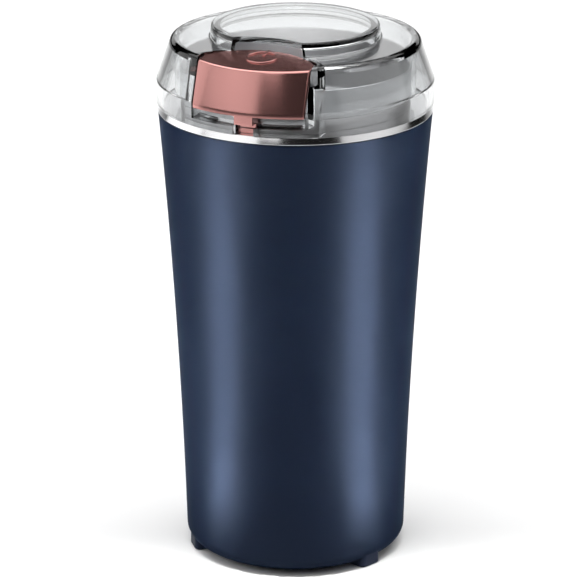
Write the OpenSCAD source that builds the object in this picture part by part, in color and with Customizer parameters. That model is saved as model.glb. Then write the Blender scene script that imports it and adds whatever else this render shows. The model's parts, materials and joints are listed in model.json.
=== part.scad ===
// Electric spice grinder: a flared housing with an upright motor, a steel grinding bowl and a
// clear lift-off lid, whose press button works the switch through a sprung push rod.
// Frame: millimetres, +Z up, origin on the surface under the axis, button towards -Y.

/* [Housing] */
// Height of the housing's top edge above the surface
body_top_z = 159; // [157:0.5:161]
// Radius of the housing at its top edge
body_top_r = 47; // [46.8:0.1:48]
// Radius of the housing at its lower edge
body_foot_r = 38.4; // [38.2:0.1:40]
// Share of the flare that is straight; the rest grows with the square of the height
flare_share = 0.44; // [0.36:0.02:0.6]
// Wall of the housing
shell_wall = 1.8; // [1.5:0.1:1.9]
// Gap between the surface and the housing
base_gap = 2; // [1.5:0.1:3]
// Radius of the housing's rounded lower edge
base_round = 5; // [4:0.5:5]
// Thickness of the base cover
base_plate_t = 2; // [1.6:0.1:2.5]
// Bore of the cord inlet
cord_bore_r = 3.3; // [3:0.1:3.5]

/* [Feet] */
// Width of a foot, across
foot_w = 9; // [6:0.5:10]
// Length of a foot, from the inside out
foot_len = 9; // [8:0.5:10]
// How far a foot's outer face stands inside the housing's lower edge
foot_inset = 0.7; // [0.4:0.1:1.4]
// Height of a foot
foot_h = 6; // [5:0.5:6.5]

/* [Trim ring] */
// Height of the bright ring between housing and lid
ring_h = 2.4; // [2:0.1:3]
// Sheet thickness of the ring
ring_t = 0.8; // [0.6:0.1:0.9]
// How far the ring stands proud of the housing
ring_proud = 0.2; // [0:0.1:0.4]

/* [Bowl] */
// Distance of the bowl's collar, which the lid goes over, from the housing's top edge
rim_w = 7.8; // [7.7:0.1:8.2]
// Gap between the bowl's wall and the push rod
bowl_gap = 2.4; // [2:0.2:4.4]
// Height of the bowl's floor above the chassis
bowl_seat_h = 5; // [4:0.5:7]
// Sheet thickness of the bowl
bowl_t = 0.8; // [0.6:0.1:1]
// Radius where the bowl's floor meets its wall
bowl_round = 9; // [6:1:10]

/* [Lid] */
// How far the lid's lower band stands proud of the ring
lid_proud = 0.2; // [0:0.1:0.8]
// Height of the lid's lower band
band_h = 8.2; // [7.5:0.1:9]
// Height of the lid's sloping wall
cone_h = 14.5; // [14:0.5:16]
// How far the slope leads in from the lower band to the lid's flat top
cone_in = 5.1; // [4.4:0.1:5.4]
// Width of the lid's flat top around its raised round
ledge_w = 13.1; // [12.3:0.2:14.3]
// Height of the raised round above the lid's flat top
disc_h = 4.5; // [3.5:0.5:6]
// Wall of the lid
lid_wall = 2.2; // [1.8:0.1:2.3]
// Wall of the lid's inner skirt
skirt_t = 1.2; // [1:0.1:1.3]
// Thickness of the clear ribs beside the button
rib_t = 3.2; // [2.8:0.1:4]

/* [Button] */
// Half of the width of the button's recess
pocket_half_w = 20.3; // [19:0.1:21]
// Radius of the recess's curved back, seen from above
pocket_arc_r = 26; // [25:0.5:28]
// How far the recess reaches in from the bowl's collar
pocket_depth = 16.5; // [15.5:0.1:17]
// Gap between the button and its recess
button_gap = 0.4; // [0.3:0.05:0.5]
// Travel of the button
travel = 3; // [2.6:0.1:3]
// Thickness of the button's top and front
button_t = 2.2; // [1.8:0.1:2.3]
// Rise of the button's top from its front edge to its back
button_rise = 2; // [1:0.25:2.25]
// Width of the tab that reaches down to the push rod
tab_w = 6.6; // [6:0.1:7]
// Radius of the raised sign on the button
sign_r = 5.4; // [4:0.1:6]

/* [Motor] */
// Width of the stator core along X
stator_w = 56; // [55:1:58]
// Depth of the stator core along Y
stator_d = 50; // [46:1:50]
// Height of the stator core
stator_h = 22; // [18:1:24]
// Radius of the armature
armature_r = 15; // [13:0.5:15]
// Radius of the motor shaft
shaft_r = 4; // [3.5:0.25:4]
// Length of each wing of the blade from the axis
blade_len = 27; // [20:1:28]
// Width of the blade
blade_w = 9; // [7:0.5:11]

/* [Hidden] */
$fn = 96;
eps = 0.01;
fit = 0.02;              // radial play of parts that are pressed together
running = 0.05;          // radial clearance of a turning or sliding pin
slip = 0.35;             // clearance of parts that move past each other
seat = 0.1;              // gap where the lid stands on the ring
ring_z = body_top_z;
ring_top_z = ring_z + ring_h;
ring_r = body_top_r + ring_proud;
lid_r = ring_r + lid_proud;
shoulder_r = lid_r - cone_in;
disc_r = shoulder_r - ledge_w;
collar_r = body_top_r - rim_w;
pocket_back = collar_r - pocket_depth;
lid_z = ring_top_z + seat;
band_z = lid_z + band_h;
shoulder_z = band_z + cone_h;
disc_z = shoulder_z + disc_h;
shoulder_round = 2;
disc_round = 1.2;
cone_slope = (lid_r - shoulder_r) / cone_h;
skirt_in_r = collar_r + 0.4;
skirt_out_r = skirt_in_r + skirt_t;
skirt_low_z = lid_z + 4.5;
sill_z = lid_z + 2.8;              // top of the lid's sill under the button
button_low_z = sill_z + travel + 0.6;
button_front_z = shoulder_z - 1.6;
button_under_z = button_front_z - button_t;
pocket_floor_z = button_under_z - travel - slip;
pocket_floor_t = 1.2;
collar_top_z = pocket_floor_z - pocket_floor_t - 0.5;
arc_y = -pocket_back - pocket_arc_r;
tab_t = 2;
tab_in = 3.6;                      // how far the tab stands inside the lid's band
tab_out = lid_r - tab_in;
tab_front_z = sill_z + 0.7;        // lower end of the tab's front face
rod_top_z = lid_z + 1.6;
tab_low_z = rod_top_z + slip;
button_spring_x = 8;
button_spring_y = -collar_r + 8.2;
button_spring_r = 2.6;
button_wire = 0.5;
well_depth = 2.5;
well_r = button_spring_r + slip;
well_z = pocket_floor_z - well_depth;
stud_z = button_under_z + 0.2;     // lower end of the studs that press the springs
clip = [2, 3];                     // section of the button's snap legs
clip_x = 14.5;
sign_y = button_spring_y + 0.6;
clip_y = button_spring_y + 0.5;
barb_h = 2;
rod_w = 6;
rod_t = 2;
rod_in = 3.1;                      // distance of the rod's stem from the housing's inside
jog_h = 3;
collar_disc_h = 2;
rod_pin_r = 1.5;
rod_spring_r = 2.6;
rod_wire = 0.5;
chassis_t = 3;
guide_h = 3;                       // boss on the chassis that guides the rod's pin
hub_r = 14;
neck_r = 6.4;
neck_h = 3.6;
ring_nut_r = 10;
ring_nut_slot = 2.4;
seal_r = 5.15;
chassis_screw_angles = [90, 210, 330];
boss_len = 12;
boss_r = 3.2;
boss_in = 1.5;                     // gap between a chassis boss and the housing's inside
screw_r = 1.5;
screw_head_r = 2.9;
screw_head_h = 1.8;
base_z = base_gap + 0.2;
base_top_z = base_z + base_plate_t;
base_open_r = body_foot_r - base_round - 0.4;
base_screw_ring = base_open_r - 4.5;
base_screw_len = 7;
base_screw_angles = [30, 150, 270];
foot_turn = 6.5;                   // turn of the feet about the axis
foot_angles = [foot_turn - 150, foot_turn - 30, foot_turn + 90];
foot_out_r = body_foot_r - foot_inset;
foot_plug_r = 1.5;
gland_z = 15;
gland_r = 4.5;
gland_rim_r = 6;
low_bearing_z = 22;
bearing_r = 11;
bearing_h = 7;
cup_wall = 1.5;
arm_w = 12;
arm_h = 6;
coil_over = 6;                     // how far the coils stand over the core
coil_t = 6;
coil_y = 14;
coil_leg_w = 6;
coil_half_w = 19;
bolt_x = 23.5;
bolt_r = 1.6;
leg_w = 8;
damper_at = 17;
damper_r = 3.5;
fan_r = 18.5;
fan_h = 8;
fan_blades = 9;
winding_r = armature_r - 1.8;
slot_count = 11;
commutator_r = 10;
commutator_z = low_bearing_z + 14;
commutator_h = 12;
bar_count = 22;
brush_z = commutator_z + commutator_h / 2;
core_z = commutator_z + commutator_h + 8;
core_top_z = core_z + stator_h;
fan_z = core_top_z + coil_over + 3;
top_bearing_z = fan_z + fan_h + 3;
arm_top_z = top_bearing_z - 1 + arm_h;
damper_h = 7;
chassis_z = arm_top_z + damper_h;
chassis_top_z = chassis_z + chassis_t;
chassis_screw_r = body_r(chassis_z) - shell_wall - boss_r - boss_in;
bowl_floor_z = chassis_top_z + bowl_seat_h;
seal_z = bowl_floor_z - 2;
seal_top_z = bowl_floor_z + neck_h + 0.6;
brush_w = 5.2;
brush_h = 7.2;
brush_len = 10;
holder_wall = 0.6;
holder_in_y = 12;
holder_out_y = 27;
shaft_low_z = low_bearing_z - 2;
spacer_z = seal_top_z + 0.6;
blade_z = bowl_floor_z + 7;
blade_t = 1.5;
blade_tip = 9;                     // length of each bent tip
blade_bend = 25;
stud_r = 3;                        // shaft's end, which takes the blade and its nut
stud_top_z = blade_z + 6;
washer_t = 0.8;
nut_r = 6.5;
nut_h = 4;
board_z = 11;
board_t = 1.6;
board = [32, 22];
board_y = -9;
post_x = 12.5;
switch = [20, 6.4, 10];
switch_hole = [4.8, 7.5];          // place of its two holes: aside, and below its top
switch_hole_r = 1.1;
rod_y = -body_r(chassis_z) + shell_wall + rod_in;
stem_low_z = chassis_top_z + 15;
bowl_r = -rod_y - rod_t / 2 - bowl_gap;
neck_z = [ring_z - 9, ring_z - 2]; // where the bowl widens to its collar
jog_z = neck_z[0];
switch_y = rod_y + 3.1;
switch_top_z = chassis_z - 9;
pivot_x = -9;
pivot_z = switch_top_z + 0.9;
pivot_r = 0.6;
lever_len = 18;
lever_t = 0.5;
lever_rise = 20;                   // degrees by which the free lever stands up
key_x = -4.5;
key = [1.2, 3, 4.6];
key_z = switch_top_z - 3;
bracket_t = 1.2;
bracket_w = switch[0] - 2;
bracket_foot = 8;                  // how far the bracket's foot reaches inwards
bracket_hole = [6, switch_y + bracket_foot];
bracket_hole_r = 1.2;
through = 20;                      // length of a cutter that reaches through a piece

// ---- Shapes that repeat ----

// Radius of the housing's outside at a height
function body_r(z) =
    let (u = (z - base_gap) / (body_top_z - base_gap))
    body_foot_r + (body_top_r - body_foot_r) * (flare_share * u + (1 - flare_share) * u * u);

// Radius of the lid's sloping wall at a height
function cone_r(z) = lid_r - max(0, z - band_z) * cone_slope;

// Points of an arc from one angle to another
function arc(mid, r, from, to, n) =
    [for (i = [0:n]) let (a = from + (to - from) * i / n) mid + r * [cos(a), sin(a)]];

// Puts its children at each angle on a ring
module around(r, angles) {
    for (a = angles) rotate(a) translate([r, 0, 0]) children();
}

module tube(r_out, r_in, h) {
    difference() {
        cylinder(r = r_out, h = h);
        translate([0, 0, -1]) cylinder(r = r_in, h = h + 2);
    }
}

module centred_box(x, y, z) {
    translate([-x / 2, -y / 2, 0]) cube([x, y, z]);
}

// Upright block with rounded corners, centred on the axis
module rounded_block(x, y, z, r) {
    linear_extrude(z) union() {
        square([x, y - 2 * r], center = true);
        square([x - 2 * r, y], center = true);
        for (i = [-1, 1], j = [-1, 1])
            translate([i * (x / 2 - r), j * (y / 2 - r)]) circle(r);
    }
}

// Screw with its head's seat at z = 0 and its thread going down
module screw(r, len, head_r, head_h) {
    difference() {
        union() {
            cylinder(r = head_r, h = head_h);
            translate([0, 0, -len]) cylinder(r = r, h = len + eps);
        }
        translate([0, 0, head_h * 0.4]) {
            centred_box(head_r * 1.3, 0.7, head_h);
            centred_box(0.7, head_r * 1.3, head_h);
        }
    }
}

// Compression spring that stands on z = 0: a stack of turns joined by short risers
module spring(r, wire, h, turns) {
    pitch = (h - wire) / turns;
    mid = r - wire / 2;
    for (i = [0:turns]) translate([0, 0, wire / 2 + i * pitch])
        rotate_extrude() translate([mid, 0]) circle(wire / 2, $fn = 16);
    for (i = [0:turns - 1]) rotate(i * 137) translate([mid, 0, wire / 2 + i * pitch])
        cylinder(r = wire / 2 * 0.9, h = pitch, $fn = 16);
}

// ---- Housing ----

module shell_section() {
    arc_z = base_gap + base_round;
    arc_r = body_r(arc_z) - base_round;
    steps = 12;
    zs = [for (i = [0:steps]) arc_z + (body_top_z - arc_z) * i / steps];
    polygon(concat(
        [[base_open_r, base_gap]],
        arc([arc_r, arc_z], base_round, -90, -10, 8),
        [for (z = zs) [body_r(z), z]],
        [for (i = [steps:-1:0]) [body_r(zs[i]) - shell_wall, zs[i]]],
        arc([arc_r, arc_z], base_round - shell_wall, -10, -90, 6),
        [[base_open_r, base_gap + shell_wall]]));
}

// Screw boss that hangs from z = 0 downwards, with a web out to the housing's wall
module shell_boss(ring, z_top, len) {
    reach = body_r(z_top - len) - shell_wall / 2 - ring;
    translate([0, 0, z_top - len]) {
        cylinder(r = boss_r, h = len);
        translate([0, -1, 0]) cube([reach, 2, len]);
    }
}

module foot_prism(grow) {
    translate([foot_out_r - foot_len / 2, 0, -grow])
        rounded_block(foot_len + 2 * grow, foot_w + 2 * grow, foot_h + 2 * grow, 2);
}

// Flared housing with bosses for the base cover and for the chassis
module body_shell() {
    base_boss_z = base_top_z + boss_len;
    color("midnightblue") difference() {
        union() {
            rotate_extrude() shell_section();
            intersection() {
                around(base_screw_ring, base_screw_angles)
                    shell_boss(base_screw_ring, base_boss_z, boss_len);
                cylinder(r = body_r(base_top_z + base_round) - shell_wall / 2, h = body_top_z);
            }
            around(chassis_screw_r, chassis_screw_angles)
                shell_boss(chassis_screw_r, chassis_z, boss_len);
        }
        around(base_screw_ring, base_screw_angles)
            translate([0, 0, base_z]) cylinder(r = screw_r, h = boss_len);
        around(chassis_screw_r, chassis_screw_angles)
            translate([0, 0, chassis_z - boss_len + 2]) cylinder(r = screw_r, h = boss_len);
        for (a = foot_angles) rotate(a) foot_prism(0.1);
        translate([0, body_foot_r - 8, gland_z])
            rotate([-90, 0, 0]) cylinder(r = gland_r + running, h = 16);
    }
}

// Base cover with air slots, posts for the circuit board and plugs' holes for the feet
module base_cover() {
    color([0.1, 0.12, 0.2]) difference() {
        union() {
            translate([0, 0, base_z]) cylinder(r = base_open_r - 0.2, h = base_plate_t);
            for (x = [-post_x, post_x]) translate([x, board_y, base_z])
                cylinder(r = 2.6, h = board_z - base_z);
        }
        for (x = [-20:5:20]) translate([x, 12, base_z - 1])
            rounded_block(2, 16, base_plate_t + 2, 0.9);
        around(base_screw_ring, base_screw_angles) translate([0, 0, base_z - 1])
            cylinder(r = screw_r + 0.2, h = base_plate_t + 2);
        for (a = foot_angles) rotate(a) foot_plug(0.05);
        for (x = [-post_x, post_x]) translate([x, board_y, board_z - 5])
            cylinder(r = 1.1, h = 6);
    }
}

module foot_plug(grow) {
    translate([foot_out_r - foot_len + 2, 0, base_z - 1])
        cylinder(r = foot_plug_r + grow, h = base_plate_t + 2);
}

// Rubber foot: its outer part fills a notch of the housing, its inner part is under the cover
module foot(angle) {
    color("midnightblue") rotate(angle) {
        difference() {
            foot_prism(0);
            translate([0, -foot_w, base_z]) cube([base_open_r, 2 * foot_w, foot_h]);
        }
        foot_plug(0);
    }
}

module base_screws() {
    color("silver") around(base_screw_ring, base_screw_angles)
        translate([0, 0, base_z]) rotate([180, 0, 0])
            screw(screw_r - fit, base_plate_t + base_screw_len, screw_head_r, screw_head_h - 0.4);
}

// Bush in the rear of the housing that the supply cord passes through
module cord_gland() {
    out_y = body_r(gland_z) + 1.4;
    in_y = body_r(gland_z) - shell_wall - 1.4;
    color([0.08, 0.09, 0.12]) translate([0, 0, gland_z]) rotate([-90, 0, 0]) difference() {
        union() {
            translate([0, 0, in_y]) cylinder(r = gland_r, h = out_y - in_y);
            translate([0, 0, out_y - 1.2]) cylinder(r = gland_rim_r, h = 1.2);
            translate([0, 0, in_y - 1.4]) cylinder(r = gland_r, h = 1.5);
        }
        translate([0, 0, in_y - 3]) cylinder(r = cord_bore_r, h = 20);
    }
}

// ---- Trim ring and bowl ----

module tab_slot(grow) {
    translate([-tab_w / 2 - grow, -tab_out - grow, ring_z - through])
        cube([tab_w + 2 * grow, tab_t + 2 * grow, 2 * through]);
}

// Bright pressed ring: its edge shows, its sheet carries the lid, its lip grips the housing
module trim_ring() {
    lip_h = 3;
    lip_r = body_r(ring_z - lip_h) - shell_wall - 0.05;
    sheet_z = ring_top_z - ring_t;
    color("gainsboro") difference() {
        rotate_extrude() polygon(concat(
            [[collar_r + 0.2, sheet_z], [lip_r - ring_t, sheet_z],
             [lip_r - ring_t, ring_z - lip_h], [lip_r, ring_z - lip_h], [lip_r, ring_z],
             [ring_r, ring_z]],
            arc([ring_r - 0.5, ring_top_z - 0.5], 0.5, 0, 90, 4),
            [[collar_r + 0.2, ring_top_z]]));
        tab_slot(slip);
    }
}

// Drawn steel bowl: collar, neck, wall and a rounded floor, with a rim that carries the ring
module bowl() {
    hole_r = neck_r + 0.1;
    rim_r = tab_out - tab_t - 0.8;
    color("lightgray") {
        rotate_extrude() polygon(concat(
            bowl_skin(0, hole_r, false), bowl_skin(bowl_t, hole_r, true)));
        translate([0, 0, ring_top_z - ring_t - bowl_t])
            tube(rim_r, collar_r - bowl_t / 2, bowl_t);
    }
}

// One side of the bowl's sheet, from the hole outwards or from the collar inwards
function bowl_skin(d, hole_r, inwards) =
    let (mid = [bowl_r - bowl_round, bowl_floor_z + bowl_round],
         floor_end = [[hole_r, bowl_floor_z + d]],
         wall_end = [[bowl_r - d, neck_z[0]], [collar_r - d, neck_z[1]],
                     [collar_r - d, collar_top_z]])
    inwards
        ? concat([wall_end[2], wall_end[1], wall_end[0]],
                 arc(mid, bowl_round - d, 0, -90, 8), floor_end)
        : concat(floor_end, arc(mid, bowl_round - d, -90, 0, 8), wall_end);

// Ring nut that clamps the bowl's floor on the chassis hub
module bowl_nut() {
    color("silver") translate([0, 0, bowl_floor_z + bowl_t]) difference() {
        cylinder(r = ring_nut_r, h = neck_h - bowl_t - 0.2);
        translate([0, 0, -1]) cylinder(r = neck_r + fit, h = neck_h + 1);
        for (a = [0:90:270]) rotate(a) translate([ring_nut_r - 0.5, 0, 1.2])
            centred_box(2, ring_nut_slot, neck_h);
    }
}

module shaft_seal() {
    color([0.12, 0.12, 0.12]) translate([0, 0, seal_z]) difference() {
        union() {
            cylinder(r = seal_r, h = seal_top_z - seal_z);
            translate([0, 0, seal_top_z - seal_z - 0.6]) cylinder(r = neck_r - 0.4, h = 0.6);
        }
        translate([0, 0, -1]) cylinder(r = shaft_r + running, h = seal_top_z - seal_z + 2);
    }
}

// ---- Chassis and what hangs from it ----

// Moulded plate on the housing's bosses: it carries bowl, motor and switch
module chassis() {
    plate_r = body_r(chassis_z) - shell_wall - 0.3;
    color([0.75, 0.76, 0.78]) difference() {
        union() {
            translate([0, 0, chassis_z]) cylinder(r = plate_r, h = chassis_t);
            translate([0, 0, chassis_z]) cylinder(r = hub_r, h = bowl_floor_z - chassis_z);
            translate([0, 0, chassis_z])
                cylinder(r = neck_r, h = bowl_floor_z - chassis_z + neck_h);
            translate([0, rod_y, chassis_z]) cylinder(r = 2.4, h = chassis_t + guide_h);
        }
        translate([0, 0, chassis_z - 1]) cylinder(r = shaft_r + 0.25, h = through);
        translate([0, 0, seal_z]) cylinder(r = seal_r + fit, h = through);
        translate([0, rod_y, chassis_z - 1])
            cylinder(r = rod_pin_r + running, h = chassis_t + guide_h + 2);
        around(chassis_screw_r, chassis_screw_angles)
            translate([0, 0, chassis_z - 1]) cylinder(r = screw_r + 0.15, h = chassis_t + 2);
        around(damper_at, [0:90:270])
            translate([0, 0, chassis_z - 1]) cylinder(r = screw_r + 0.15, h = chassis_t + 2);
        for (s = [-1, 1]) translate([s * bracket_hole[0], bracket_hole[1], chassis_z - 1])
            cylinder(r = bracket_hole_r, h = chassis_t + 2);
    }
}

module chassis_screws() {
    color("silver") around(chassis_screw_r, chassis_screw_angles)
        translate([0, 0, chassis_top_z])
            screw(screw_r - fit, chassis_t + 8, screw_head_r - 0.3, screw_head_h);
}

// Rubber mount between motor and chassis
module damper(angle) {
    color([0.15, 0.15, 0.16]) rotate(angle)
        translate([damper_at, 0, arm_top_z]) difference() {
            union() {
                cylinder(r = damper_r, h = damper_h / 3);
                cylinder(r = damper_r - 0.9, h = damper_h);
                translate([0, 0, damper_h * 2 / 3]) cylinder(r = damper_r, h = damper_h / 3);
            }
            translate([0, 0, -1]) cylinder(r = screw_r + 0.15, h = damper_h + 2);
        }
}

module mount_screws() {
    color("silver") around(damper_at, [0:90:270]) translate([0, 0, chassis_top_z])
        screw(screw_r - fit, chassis_top_z - top_bearing_z - 1, screw_head_r - 0.2, screw_head_h);
}

// ---- Motor, fixed parts ----

// Bearing bracket: a cup on a cross of arms, with legs on the left and the right
module bracket(arm_z, cup_z, cup_h, bearing_z, leg_z, leg_h, arm_y) {
    difference() {
        union() {
            translate([0, 0, cup_z]) cylinder(r = bearing_r + cup_wall, h = cup_h);
            translate([0, 0, arm_z]) centred_box(2 * bolt_x + leg_w, arm_w, arm_h);
            translate([0, 0, arm_z]) centred_box(arm_w, 2 * arm_y, arm_h);
            for (x = [-bolt_x, bolt_x]) translate([x, 0, leg_z]) centred_box(leg_w, arm_w, leg_h);
        }
        translate([0, 0, cup_z - 1]) cylinder(r = bearing_r - 2, h = cup_h + 2);
        translate([0, 0, bearing_z]) cylinder(r = bearing_r + fit, h = bearing_h);
        for (x = [-bolt_x, bolt_x]) translate([x, 0, 0])
            cylinder(r = bolt_r + 0.15, h = chassis_z);
    }
}

module upper_bracket() {
    arm_z = top_bearing_z - 1;
    color([0.7, 0.71, 0.73]) difference() {
        bracket(arm_z, arm_z, bearing_h + 2, top_bearing_z, core_top_z,
                arm_z - core_top_z + eps, damper_at + 4);
        around(damper_at, [0:90:270])
            translate([0, 0, arm_z + 1.5]) cylinder(r = screw_r, h = arm_h);
    }
}

module lower_bracket() {
    arm_z = low_bearing_z + 2;
    color([0.7, 0.71, 0.73]) union() {
        bracket(arm_z, low_bearing_z - 1, bearing_h + 2, low_bearing_z, arm_z + arm_h - eps,
                core_z - arm_z - arm_h + eps, holder_out_y);
        for (s = [-1, 1]) translate([0, s * (holder_in_y + holder_out_y + 4) / 2,
                                     arm_z + arm_h - eps])
            centred_box(6, holder_out_y - holder_in_y - 4, holder_low_z() - arm_z - arm_h + eps);
    }
}

function holder_low_z() = brush_z - brush_h / 2 - 0.1 - holder_wall;

// Sealed ball bearing: two races, shields and a bore that runs on the shaft
module bearing(z) {
    color("silver") translate([0, 0, z]) difference() {
        cylinder(r = bearing_r, h = bearing_h);
        translate([0, 0, -1]) cylinder(r = shaft_r + running, h = bearing_h + 2);
        for (h = [-1, bearing_h - 0.4]) translate([0, 0, h]) tube(bearing_r - 2, shaft_r + 2, 1.4);
    }
}

module motor_bolts() {
    low_z = low_bearing_z + 2 - 2.4;
    color("silver") for (x = [-bolt_x, bolt_x]) translate([x, 0, 0]) {
        translate([0, 0, arm_top_z]) screw(bolt_r, arm_top_z - low_z, 2.7, 2);
        translate([0, 0, low_z]) tube(3.2, bolt_r - eps, 2.4, $fn = 6);
    }
}

// Laminated core with a bore for the armature and four windows for the coils
module stator_core() {
    color([0.4, 0.4, 0.42]) translate([0, 0, core_z]) difference() {
        rounded_block(stator_w, stator_d, stator_h, 5);
        translate([0, 0, -1]) cylinder(r = armature_r + 0.6, h = stator_h + 2);
        for (x = [-1, 1], y = [-1, 1])
            translate([x * (coil_half_w - coil_leg_w / 2), y * (coil_y + coil_t / 2), -1])
                centred_box(coil_leg_w + 0.5, coil_t + 0.5, stator_h + 2);
        for (x = [-bolt_x, bolt_x]) translate([x, 0, -1])
            cylinder(r = bolt_r + 0.15, h = stator_h + 2);
        for (x = [-1, 1], k = [1:5]) translate([x * stator_w / 2, 0, stator_h * k / 6])
            centred_box(0.8, stator_d - 12, 0.4);
    }
}

// Field coil: a flat wound loop that stands around one pole of the core
module field_coil(side) {
    h = stator_h + 2 * coil_over;
    color([0.72, 0.4, 0.2]) translate([0, side * (coil_y + coil_t / 2), core_z - coil_over])
        difference() {
            translate([0, coil_t / 2, h / 2]) rotate([90, 0, 0])
                rounded_block(2 * coil_half_w, h, coil_t, 4);
            translate([0, 0, coil_over - 0.4])
                centred_box(2 * (coil_half_w - coil_leg_w), coil_t + 2, stator_h + 0.8);
        }
}

module brush_holder(side) {
    len = holder_out_y - holder_in_y;
    w = brush_w + 0.2;
    h = brush_h + 0.2;
    color([0.75, 0.6, 0.3]) translate([0, side * (holder_in_y + len / 2), brush_z - h / 2])
        difference() {
            translate([0, 0, -holder_wall])
                centred_box(w + 2 * holder_wall, len, h + 2 * holder_wall);
            translate([0, -side * holder_wall, 0]) centred_box(w, len, h);
        }
}

module carbon_brush(side) {
    color([0.15, 0.15, 0.15]) difference() {
        translate([0, side * (commutator_r + brush_len) / 2 + side * commutator_r / 2,
                   brush_z - brush_h / 2])
            centred_box(brush_w, brush_len, brush_h);
        cylinder(r = commutator_r + 0.1, h = 2 * brush_z);
    }
}

module brush_spring(side) {
    from = commutator_r + brush_len + 0.05;
    len = holder_out_y - holder_wall - from - 0.05;
    color("silver") translate([0, side * from, brush_z]) rotate([-90 * side, 0, 0])
        spring(2.3, 0.5, len, 5);
}

// ---- Circuit board ----

module circuit_board() {
    color([0.1, 0.35, 0.2]) translate([0, board_y, board_z]) difference() {
        centred_box(board[0], board[1], board_t);
        for (x = [-post_x, post_x]) translate([x, 0, -1]) cylinder(r = 1.3, h = board_t + 2);
    }
}

module board_screws() {
    color("silver") for (x = [-post_x, post_x])
        translate([x, board_y, board_z + board_t]) screw(1.08, 5.5, 2, 1.2);
}

module bridge_rectifier() {
    color([0.12, 0.12, 0.13]) translate([-3, board_y + 5, board_z + board_t])
        rounded_block(12, 8, 4, 0.8);
}

module film_capacitor() {
    color([0.75, 0.2, 0.1]) translate([2, board_y - 6, board_z + board_t])
        rounded_block(13, 6, 7, 1);
}

module thermal_fuse() {
    r = 1.6;
    color([0.85, 0.8, 0.6]) translate([-11.5, board_y - 6, board_z + board_t]) {
        translate([0, 0, r]) rotate([0, 90, 0]) translate([0, 0, -3.5]) cylinder(r = r, h = 7);
        for (x = [-4.5, 4.5]) translate([x * 0.7, 0, 0]) cylinder(r = 0.6, h = r);
    }
}

// ---- Switch ----

// Micro switch with two ears for the lever and a guide for the key
module micro_switch() {
    ear_t = 0.7;
    color([0.1, 0.1, 0.11]) translate([0, switch_y, 0]) difference() {
        union() {
            translate([0, 0, switch_top_z - switch[2]]) centred_box(switch[0], switch[1], switch[2]);
            for (s = [-1, 1])
                translate([pivot_x, s * (switch[1] - ear_t) / 2, switch_top_z - 1])
                    centred_box(2, ear_t, pivot_z - switch_top_z + 2.1);
        }
        translate([pivot_x, switch[1], pivot_z]) rotate([90, 0, 0])
            cylinder(r = pivot_r + running, h = 2 * switch[1]);
        translate([key_x, 0, key_z - 2.5])
            centred_box(key[0] + 0.6, key[1] + 0.6, 10);
        for (s = [-1, 1]) translate([s * switch_hole[0], switch[1], switch_top_z - switch_hole[1]])
            rotate([90, 0, 0]) cylinder(r = switch_hole_r, h = 2 * switch[1]);
    }
}

// Sprung sheet lever of the switch, drawn level and turned up about its pin
module switch_lever() {
    inner_w = switch[1] - 2 * 0.7 - 0.6;
    color("silver") translate([pivot_x, switch_y, pivot_z]) rotate([0, -lever_rise, 0]) {
        translate([0, switch[1] / 2, 0]) rotate([90, 0, 0]) cylinder(r = pivot_r, h = switch[1]);
        translate([0, -inner_w / 2, -lever_t / 2]) cube([lever_len, inner_w, lever_t]);
        translate([4, -switch[1] / 2 + 0.1, -lever_t / 2])
            cube([lever_len - 4, switch[1] - 0.2, lever_t]);
    }
}

module switch_key() {
    color([0.8, 0.2, 0.15]) translate([key_x, switch_y, key_z]) centred_box(key[0], key[1], key[2]);
}

// Sheet angle that hangs the switch from the chassis
module switch_bracket() {
    back_y = switch_y + switch[1] / 2;
    low_z = switch_top_z - switch[2];
    color([0.7, 0.71, 0.73]) difference() {
        union() {
            translate([0, back_y + bracket_t / 2, low_z])
                centred_box(bracket_w, bracket_t, chassis_z - low_z);
            translate([0, back_y + bracket_foot / 2, chassis_z - bracket_t])
                centred_box(bracket_w, bracket_foot, bracket_t);
        }
        for (s = [-1, 1]) {
            translate([s * switch_hole[0], back_y + through / 2, switch_top_z - switch_hole[1]])
                rotate([90, 0, 0]) cylinder(r = switch_hole_r, h = through);
            translate([s * bracket_hole[0], bracket_hole[1], chassis_z - 2 * bracket_t])
                cylinder(r = bracket_hole_r, h = 3 * bracket_t);
        }
    }
}

module switch_screws() {
    front_y = switch_y - switch[1] / 2;
    color("silver") {
        for (s = [-1, 1]) {
            translate([s * switch_hole[0], front_y, switch_top_z - switch_hole[1]])
                rotate([90, 0, 0])
                    screw(switch_hole_r - fit, switch[1] + bracket_t + 0.8, 1.9, 0.5);
            translate([s * bracket_hole[0], bracket_hole[1], chassis_z - bracket_t])
                rotate([180, 0, 0]) screw(bracket_hole_r - fit, chassis_t + bracket_t, 2, 1);
        }
    }
}

// Rod from the button's tab down to the switch: head, offset, stem, collar and pin
module push_rod() {
    head_y = -tab_out + tab_t / 2;
    color([0.85, 0.55, 0.5]) {
        translate([0, head_y, jog_z]) centred_box(rod_w, tab_t, rod_top_z - jog_z);
        translate([0, (-tab_out + rod_y + rod_t / 2) / 2, jog_z])
            centred_box(rod_w, tab_out + rod_y + rod_t / 2, jog_h);
        translate([0, rod_y, stem_low_z - eps]) centred_box(rod_w, rod_t, jog_z + jog_h - stem_low_z);
        translate([0, rod_y, stem_low_z - collar_disc_h])
            cylinder(r = rod_spring_r, h = collar_disc_h + eps);
        translate([0, rod_y, pin_end_z()])
            cylinder(r = rod_pin_r, h = stem_low_z - pin_end_z());
    }
}

// Height at which the pin ends, just over the lever
function pin_end_z() =
    pivot_z + (rod_pin_r - pivot_x) * tan(lever_rise) + lever_t / 2 / cos(lever_rise) + slip;

module rod_spring() {
    low_z = chassis_top_z + guide_h + seat;
    color("silver") translate([0, rod_y, low_z])
        spring(rod_spring_r, rod_wire, stem_low_z - collar_disc_h - low_z - seat, 6);
}

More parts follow.
